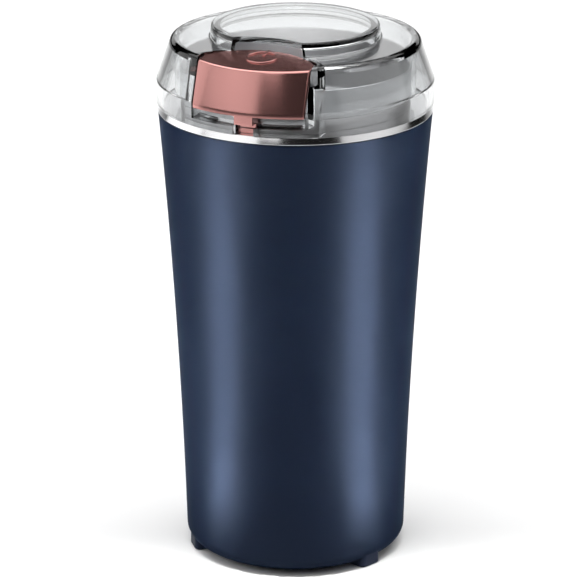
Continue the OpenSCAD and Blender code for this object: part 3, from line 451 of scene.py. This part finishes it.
def make_housing():
    """The flared shell, open below, with the feet's notches and the cord's hole."""
    low_z = BODY_LOW_Z + BASE_ROUND
    mid = (body_r(low_z) - BASE_ROUND, low_z)
    steps = 28
    heights = [low_z + (RING_Z - low_z) * i / steps for i in range(1, steps)]
    lip = 0.5
    outline = [(BASE_OPEN_R, BODY_LOW_Z)] + arc(mid, BASE_ROUND, -90, 0, 14)
    outline += [(body_r(z), z) for z in heights]
    outline += arc((BODY_TOP_R - lip, RING_Z - lip), lip, 0, 90, 4)
    outline += [(BODY_TOP_R - SHELL_WALL, RING_Z)]
    outline += [(body_r(z) - SHELL_WALL, z) for z in reversed(heights)]
    outline += arc(mid, BASE_ROUND - SHELL_WALL, 0, -90, 8)
    outline += [(BASE_OPEN_R, BODY_LOW_Z + SHELL_WALL)]
    shell = revolve("housing_shell", outline, SHELL_TURN)
    for name, angle in FOOT_ANGLES.items():
        cut(shell, foot_prism(name + "_notch", angle, NOTCH_GAP, -1, FOOT_H + NOTCH_GAP))
    bore = prism("cord_hole", disc_outline(0, 0, GLAND_HOLE_R), 0, CORD_HOLE_LEN)
    bore.data.transform(Matrix.Translation((0, CORD_HOLE_Y * MM, GLAND_Z * MM))
                        @ Matrix.Rotation(-math.pi / 2, 4, "X"))
    cut(shell, bore)
    return finish_piece(shell, "housing", "navy_plastic", "body_shell")


# ---- Lid ----

def cone_r(z):
    """The lid's outer radius at a height."""
    return LID_R - max(0, z - BAND_Z) * (LID_R - SHOULDER_R) / (SHOULDER_Z - BAND_Z)


def recess_outline(side, back):
    """The button's recess from above, grown to the sides and to the back."""
    half, r = RECESS_HALF + side, RECESS_R + back
    end = math.degrees(math.acos(half / r))
    return [(-half, -BEYOND), (half, -BEYOND)] + arc((0, RECESS_Y), r, end, 180 - end, 28)


def ring_front(half, inner):
    """The region in front of a circle of radius inner, seen from above."""
    start = -math.degrees(math.acos(half / inner))
    return [(-half, -BEYOND), (half, -BEYOND)] + arc((0, 0), inner, start, -180 - start, 40)


def lid_outside(name):
    outline = rounded(
        [(0, LID_Z), (LID_R, LID_Z), (LID_R, BAND_Z), (SHOULDER_R, SHOULDER_Z), (DISC_R, SHOULDER_Z),
         (DISC_R - DISC_DRAFT, DISC_Z), (0, DISC_Z)],
        [0, 0.3, 0.8, 2.2, 0.5, 1.0, 0])
    return revolve(name, outline)


def lid_inside(name):
    outline = rounded(
        [(0, LID_Z - 1), (LID_R - LID_WALL, LID_Z - 1), (LID_R - LID_WALL, BAND_Z - 0.4),
         (SHOULDER_R - LID_WALL + 0.3, SHOULDER_Z - LID_WALL), (DISC_R - LID_WALL, SHOULDER_Z - LID_WALL),
         (DISC_R - LID_WALL - DISC_DRAFT, DISC_Z - LID_WALL), (0, DISC_Z - LID_WALL)],
        [0, 0, 1.0, 1.5, 1.0, 1.0, 0])
    return revolve(name, outline)


def in_recess(x, y, z):
    """Whether a point, in mm, is on the walls, ribs or sill around the button."""
    return y < -RECESS_BACK + 4 and abs(x) < RECESS_HALF + RIB + 1 and z > RECESS_FLOOR_Z + 0.5


def make_lid():
    """The clear lid: outer wall, inner skirt, and the recess with its ribs, wells and snap holes."""
    floor_z = RECESS_FLOOR_Z - RECESS_FLOOR
    lid = cut(lid_outside("lid_moulding"), lid_inside("lid_hollow"))
    skirt = revolve("skirt", [(SKIRT_IN_R, SKIRT_LOW_Z), (SKIRT_OUT_R, SKIRT_LOW_Z),
                              (SKIRT_OUT_R, SHOULDER_Z - 1), (SKIRT_IN_R, SHOULDER_Z - 1)])
    walls = add(prism("walls", recess_outline(RIB, LID_WALL), floor_z, DISC_Z + 2),
                prism("ribs", ring_front(RECESS_HALF + RIB, SKIRT_OUT_R - 0.6), LID_Z - 1, DISC_Z + 2))
    for side in (-1, 1):
        add(walls, prism("well", disc_outline(side * WELL[0], WELL[1], WELL[2] + 1),
                         RECESS_FLOOR_Z - WELL[3] - RECESS_FLOOR, floor_z + 0.5))
    keep_within(walls, lid_outside("walls_limit"))
    add(lid, skirt, walls)
    cut(lid, prism("recess", recess_outline(0, 0), RECESS_FLOOR_Z, DISC_Z + 5),
        prism("recess_front", ring_front(RECESS_HALF, SKIRT_OUT_R), SILL_Z, DISC_Z + 4),
        box("notch", (-TAB_W / 2 - SLIP, -BEYOND, LID_Z - 2),
            (TAB_W / 2 + SLIP, -SKIRT_OUT_R - 0.1, SILL_Z + 5)))
    for side in (-1, 1):
        cut(lid, prism("well_bore", disc_outline(side * WELL[0], WELL[1], WELL[2]),
                       RECESS_FLOOR_Z - WELL[3], RECESS_FLOOR_Z + 1),
            box("clip_hole", (side * CLIP[0] - CLIP[2] / 2 - SLIP, CLIP[1] - CLIP[3] / 2 - SLIP, floor_z - 1),
                (side * CLIP[0] + CLIP[2] / 2 + SLIP, CLIP[1] + CLIP[3] / 2 + SLIP, RECESS_FLOOR_Z + 1)))
    clean(lid)
    soften(lid, 0.25, where=in_recess)
    return finish_piece(lid, "lid", "clear_plastic", "lid")


# ---- Button ----

def lie_of_top(z):
    """Lays the plane z = 0 on the button's sloped top, whose front edge is at height z."""
    front_y = -cone_r(BUTTON_FRONT_Z)
    slope = math.atan2(BUTTON_RISE, -RECESS_BACK - front_y)
    return Matrix.Translation((0, front_y * MM, z * MM)) @ Matrix.Rotation(slope, 4, "X")


def button_block(name, inset, low, drop):
    """The button's outside, or its hollow when inset: sides, cone-shaped front and sloped top."""
    shrink = -BUTTON_GAP - inset
    block = prism(name, recess_outline(shrink, shrink), low, DISC_Z + 4)
    limit = revolve("front_limit", [(0, LID_Z), (LID_R - inset, LID_Z), (LID_R - inset, BAND_Z),
                                    (cone_r(SHOULDER_Z + 8) - inset, SHOULDER_Z + 8), (0, SHOULDER_Z + 8)])
    keep_within(block, limit)
    top = box("top_cut", (-BEYOND, -20, 0), (BEYOND, 80, 40))
    top.data.transform(lie_of_top(BUTTON_FRONT_Z - drop))
    return cut(block, top)


def sloped(obj):
    """Lays a shape, drawn flat about the sign's middle, on the button's top."""
    along = Matrix.Translation((0, (SIGN_Y + cone_r(BUTTON_FRONT_Z)) * MM, 0))
    obj.data.transform(lie_of_top(BUTTON_FRONT_Z) @ along)
    return obj


def make_sign():
    """A plain raised ring and stroke, with soft edges."""
    ring = revolve("sign_ring", [(SIGN_R - 0.8, -0.3), (SIGN_R, -0.3)]
                   + arc((SIGN_R - 0.2, 0.2), 0.2, 0, 90, 3) + arc((SIGN_R - 0.6, 0.2), 0.2, 90, 180, 3), 64)
    stroke = box("sign_stroke", (-0.45, SIGN_R - 3.7, -0.3), (0.45, SIGN_R + 1.3, 0.4))
    soften(stroke, 0.15, where=lambda x, y, z: z > 0.3)
    return add(sloped(ring), sloped(stroke))


def make_button():
    """The hollow press button, its tab over the rod, studs, snap legs and sign."""
    button = button_block("press_button", 0, BUTTON_LOW_Z, 0)
    clean(button)
    soften(button, 0.6, angle=30, segments=4, where=lambda x, y, z: z > BUTTON_LOW_Z + 0.2)
    soften(button, 0.15, angle=40, segments=1, where=lambda x, y, z: z < BUTTON_LOW_Z + 0.2)
    cut(button, button_block("hollow", BUTTON_T, BUTTON_LOW_Z - 1, BUTTON_T),
        prism("collar_room", disc_outline(0, 0, SKIRT_OUT_R + 0.5, 96), BUTTON_LOW_Z - 1,
              BUTTON_FRONT_Z - BUTTON_T))
    tab_y, tab_top_z = -TAB_OUT + TAB_T, TAB_FRONT_Z + 6
    tab_head = keep_within(button_block("tab_head", 0.1, TAB_FRONT_Z, 1),
                           box("tab_limit", (-TAB_W / 2, -BEYOND, TAB_FRONT_Z),
                               (TAB_W / 2, tab_y, tab_top_z)))
    soften(tab_head, 0.2, segments=2)
    tab = box("tab", (-TAB_W / 2, -TAB_OUT, TAB_LOW_Z), (TAB_W / 2, tab_y, tab_top_z))
    soften(tab, 0.2, segments=2)
    add(button, tab_head, tab)
    floor_z = RECESS_FLOOR_Z - RECESS_FLOOR
    under_z = BUTTON_FRONT_Z - BUTTON_T
    for side in (-1, 1):
        stud = prism("stud", disc_outline(side * WELL[0], WELL[1], STUD_R), under_z + 0.2, under_z + BUTTON_T)
        x, y, w, d = side * CLIP[0], CLIP[1], CLIP[2] / 2, CLIP[3] / 2
        barb_z = floor_z - SLIP
        leg = box("leg", (x - w, y - d, barb_z - 2), (x + w, y + d, BUTTON_FRONT_Z))
        barb = box("barb", (x - w, y + d - 1, barb_z - 2), (x + w, y + d + 1, barb_z))
        add(button, stud, add(leg, barb))
    add(button, make_sign())
    clean(button, 0.004)
    return finish_piece(button, "button", "rose_plastic", "button")


# ---- Ring, bowl and feet ----

def make_ring():
    """The bright ring: a crowned edge, the sheet that carries the lid and the lip in the housing."""
    ring_r, sheet_z = BODY_TOP_R + RING_PROUD, RING_TOP_Z - RING_T
    lip_r = body_r(RING_Z - RING_LIP_H) - SHELL_WALL - 0.05
    crown, lean = 0.25, 0.75
    edge = arc((ring_r - crown, RING_Z + crown), crown, -90, 0, 5) + arc(
        (ring_r - lean - crown, RING_TOP_Z - crown), crown, 20, 90, 5)
    outline = [(COLLAR_R + 0.2, sheet_z), (lip_r - RING_T, sheet_z), (lip_r - RING_T, RING_Z - RING_LIP_H),
               (lip_r, RING_Z - RING_LIP_H), (lip_r, RING_Z)] + edge + [(COLLAR_R + 0.2, RING_TOP_Z)]
    ring = revolve("bright_ring", outline, SHELL_TURN)
    cut(ring, box("ring_slot", (-TAB_W / 2 - SLIP, -TAB_OUT - SLIP, RING_Z - 9),
                  (TAB_W / 2 + SLIP, -TAB_OUT + TAB_T + SLIP, RING_TOP_Z + 9)))
    clean(ring)
    return finish_piece(ring, "housing", "chrome", "trim_ring")


def make_bowl():
    """The drawn bowl with its rounded collar and the rim that carries the ring."""
    def skin(d):
        mid = (BOWL_R - BOWL_ROUND, BOWL_FLOOR_Z + BOWL_ROUND)
        neck = rounded([(BOWL_R - d, BOWL_FLOOR_Z + 12), (BOWL_R - d, NECK_Z[0]), (COLLAR_R - d, NECK_Z[1]),
                        (COLLAR_R - d, COLLAR_TOP_Z - BOWL_T / 2)], [0, 3, 3, 0])
        return [(BOWL_HOLE_R, BOWL_FLOOR_Z + d)] + arc(mid, BOWL_ROUND - d, -90, 0, 10) + neck[1:]
    lip = arc((COLLAR_R - BOWL_T / 2, COLLAR_TOP_Z - BOWL_T / 2), BOWL_T / 2, 0, 180, 6)[1:-1]
    bowl = revolve("drawn_bowl", skin(0) + lip + skin(BOWL_T)[::-1], BOWL_TURN)
    rim_z, rim_in_r = RING_TOP_Z - RING_T - BOWL_T, COLLAR_R - BOWL_T / 2
    rim = revolve("bowl_rim", [(rim_in_r, rim_z), (BOWL_RIM_R, rim_z), (BOWL_RIM_R, rim_z + BOWL_T),
                               (rim_in_r, rim_z + BOWL_T)], BOWL_TURN)
    add(bowl, rim)
    clean(bowl, 0.004)
    return finish_piece(bowl, "housing", "bowl_steel", "bowl")


def make_feet():
    """Rubber feet with rounded edges: the outer part in the housing's notch, the rest under the cover."""
    for node, angle in FOOT_ANGLES.items():
        foot = foot_prism(node + "_pad", angle, 0, 0, FOOT_H)
        soften(foot, 0.7, where=lambda x, y, z: z < 0.1)
        soften(foot, 0.2, segments=2, where=lambda x, y, z: z > FOOT_H - 0.1)
        room = box("cover_room", (-10, -FOOT_W, COVER_Z), (BASE_OPEN_R, FOOT_W, FOOT_H + 5))
        room.data.transform(Matrix.Rotation(math.radians(angle), 4, "Z"))
        cut(foot, room)
        plug = prism("plug", disc_outline(FOOT_OUT_R - FOOT_LEN + 2, 0, 1.5), COVER_Z - 1, COVER_Z + 3)
        plug.data.transform(Matrix.Rotation(math.radians(angle), 4, "Z"))
        add(foot, plug)
        clean(foot, 0.004)
        finish_piece(foot, "housing", "foot_rubber", node)


# ---- Springs ----

def coil(name, low, high, wire, turns, n=28, sides=8):
    """A wound spring that fills the box from low to high, in metres: closed end turns, open ones between."""
    mid = (Vector(low) + Vector(high)) / 2
    r = (high[0] - low[0] - wire) / 2
    rise = high[2] - low[2] - wire
    bm = bmesh.new()
    rings = []
    steps = int(turns * n)
    for i in range(steps + 1):
        a = 2 * math.pi * i / n
        share = min(1, max(0, (i / n - 0.7) / (turns - 1.4)))
        closed = wire * (min(i / n, 0.7) + max(0, i / n - turns + 0.7))
        z = low[2] + wire / 2 + closed + share * (rise - 1.4 * wire)
        out = Vector((math.cos(a), math.sin(a), 0))
        middle = Vector((mid.x, mid.y, z)) + out * r
        rings.append([bm.verts.new(middle + wire / 2 * (out * math.cos(b) + Vector((0, 0, math.sin(b)))))
                      for b in [2 * math.pi * k / sides for k in range(sides)]])
    for ring, after in zip(rings, rings[1:]):
        for k in range(sides):
            bm.faces.new((ring[k], ring[(k + 1) % sides], after[(k + 1) % sides], after[k]))
    bm.faces.new(rings[0][::-1])
    bm.faces.new(rings[-1])
    bmesh.ops.recalc_face_normals(bm, faces=bm.faces)
    return new_object(name, bm)


def make_springs():
    """Wound springs in place of the stacked turns."""
    for node, body, joint, wire, turns in (("button_spring_left", "lid", "button_press", 0.4, 5),
                                           ("button_spring_right", "lid", "button_press", 0.4, 5),
                                           ("rod_spring", "housing", "rod_press", 0.5, 7)):
        low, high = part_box(node)
        spring = finish_piece(coil(node + "_coil", low, high, wire * MM, turns), body, "spring_steel", node)
        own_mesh(spring)


# ---- Stage ----

def make_stage():
    """A white floor."""
    bm = bmesh.new()
    bmesh.ops.create_grid(bm, x_segments=1, y_segments=1, size=FLOOR_SIZE)
    floor = new_object("floor", bm)
    mat, nodes, links, shader = nodes_of("floor_look")
    shader.inputs["Base Color"].default_value = (FLOOR_WHITE, FLOOR_WHITE, FLOOR_WHITE, 1)
    shader.inputs["Roughness"].default_value = 0.7
    shader.inputs["Specular IOR Level"].default_value = 0.2
    floor.data.materials.append(mat)


def area_light(name, place, aim, size, power, spread=CARD_SPREAD):
    """A rectangular light that faces its aim and that the camera doesn't see."""
    data = bpy.data.lights.new(name, "AREA")
    data.shape = "RECTANGLE"
    data.size, data.size_y = size
    data.energy = power
    obj = bpy.data.objects.new(name, data)
    bpy.context.scene.collection.objects.link(obj)
    obj.location = place
    obj.rotation_euler = (Vector(aim) - Vector(place)).to_track_quat("-Z", "Y").to_euler()
    obj.visible_camera = False
    data.spread = math.radians(spread)
    return obj


def around_camera(angle, reach, height):
    """A place at an angle, in degrees, to the right of the camera's direction."""
    a = math.radians(CAMERA_AZIMUTH + angle)
    return (math.sin(a) * reach, -math.cos(a) * reach, height)


def make_world():
    """A dim studio that is lighter overhead."""
    world = bpy.data.worlds.new("studio")
    bpy.context.scene.world = world
    world.use_nodes = True
    nodes, links = world.node_tree.nodes, world.node_tree.links
    place = nodes.new("ShaderNodeTexCoord")
    split = nodes.new("ShaderNodeSeparateXYZ")
    links.new(place.outputs["Generated"], split.inputs["Vector"])
    span = nodes.new("ShaderNodeMapRange")
    span.interpolation_type = "SMOOTHSTEP"
    span.inputs["From Min"].default_value = SKY_FROM
    span.inputs["From Max"].default_value = SKY_TO
    span.inputs["To Min"].default_value = SKY_DARK
    span.inputs["To Max"].default_value = SKY_LIGHT
    links.new(split.outputs["Z"], span.inputs["Value"])
    back = nodes["Background"]
    back.inputs["Color"].default_value = (1, 1, 1, 1)
    links.new(span.outputs["Result"], back.inputs["Strength"])


def pool_light(name, angle, reach, size, spread, power, tilt=0.0):
    """A gridded strip over the floor that lights a patch at an angle and reach from the axis."""
    place = around_camera(angle, reach + POOL_HEIGHT * math.tan(math.radians(tilt)), POOL_HEIGHT)
    light = area_light(name, place, around_camera(angle, reach, 0), size, power, spread)
    light.rotation_euler = (math.radians(tilt), 0, math.radians(CAMERA_AZIMUTH + angle))


def make_lights():
    """Soft panels behind and overhead, pools of light on the floor beside the object, which its sides
    reflect, a thin one in front of its base, cards to the left, right and rear, which the lid, the ring
    and the button reflect, and a faint glow in the bowl."""
    area_light("back_soft", around_camera(180, 0.6, 1.1), around_camera(180, 0.75, 0), BACK_SIZE, BACK_W,
               OPEN_SPREAD)
    area_light("top_soft", (0, 0, TOP_HEIGHT), (0, 0, 0), TOP_SIZE, TOP_W, OPEN_SPREAD)
    for side, angle, share in POOL_SIDES:
        pool_light(side + "_near_pool", angle, *NEAR_POOL, NEAR_W * share * share)
        pool_light(side + "_far_pool", angle, *FAR_POOL, FAR_W * share)
    pool_light("base_strip", 0, *BASE_POOL, BASE_W, BASE_TILT)
    for name, angle, reach, height, size, aim_z, power in CARDS:
        area_light(name, around_camera(angle, reach, height), (0, 0, aim_z), size, power)
    glow = bpy.data.lights.new("bowl_glow", "POINT")
    glow.energy, glow.shadow_soft_size = GLOW_W, GLOW_R
    lamp = bpy.data.objects.new("bowl_glow", glow)
    bpy.context.scene.collection.objects.link(lamp)
    lamp.location = (0, 0, GLOW_Z)
    lamp.visible_camera = lamp.visible_transmission = False
    make_world()


def make_camera():
    """The camera that took the photograph, as fitted to its curves."""
    data = bpy.data.cameras.new("photo_camera")
    data.sensor_width = SENSOR
    data.lens = FOCAL_PX / FRAME_PX * SENSOR
    data.shift_x = -(AXIS_PX - FRAME_PX / 2) / FRAME_PX
    data.clip_start, data.clip_end = 0.05, 20
    bpy.context.scene.view_settings.view_transform = "Standard"
    obj = bpy.data.objects.new("photo_camera", data)
    bpy.context.scene.collection.objects.link(obj)
    obj.location = around_camera(0, CAMERA_REACH * MM, CAMERA_HEIGHT * MM)
    obj.rotation_euler = (math.radians(90 - CAMERA_PITCH), 0, math.radians(CAMERA_AZIMUTH))
    bpy.context.scene.camera = obj


make_camera()
dress_frame()
make_housing()
make_ring()
make_bowl()
make_feet()
make_lid()
make_button()
make_springs()
make_stage()
make_lights()


def write_sizes():
    import json


write_sizes()
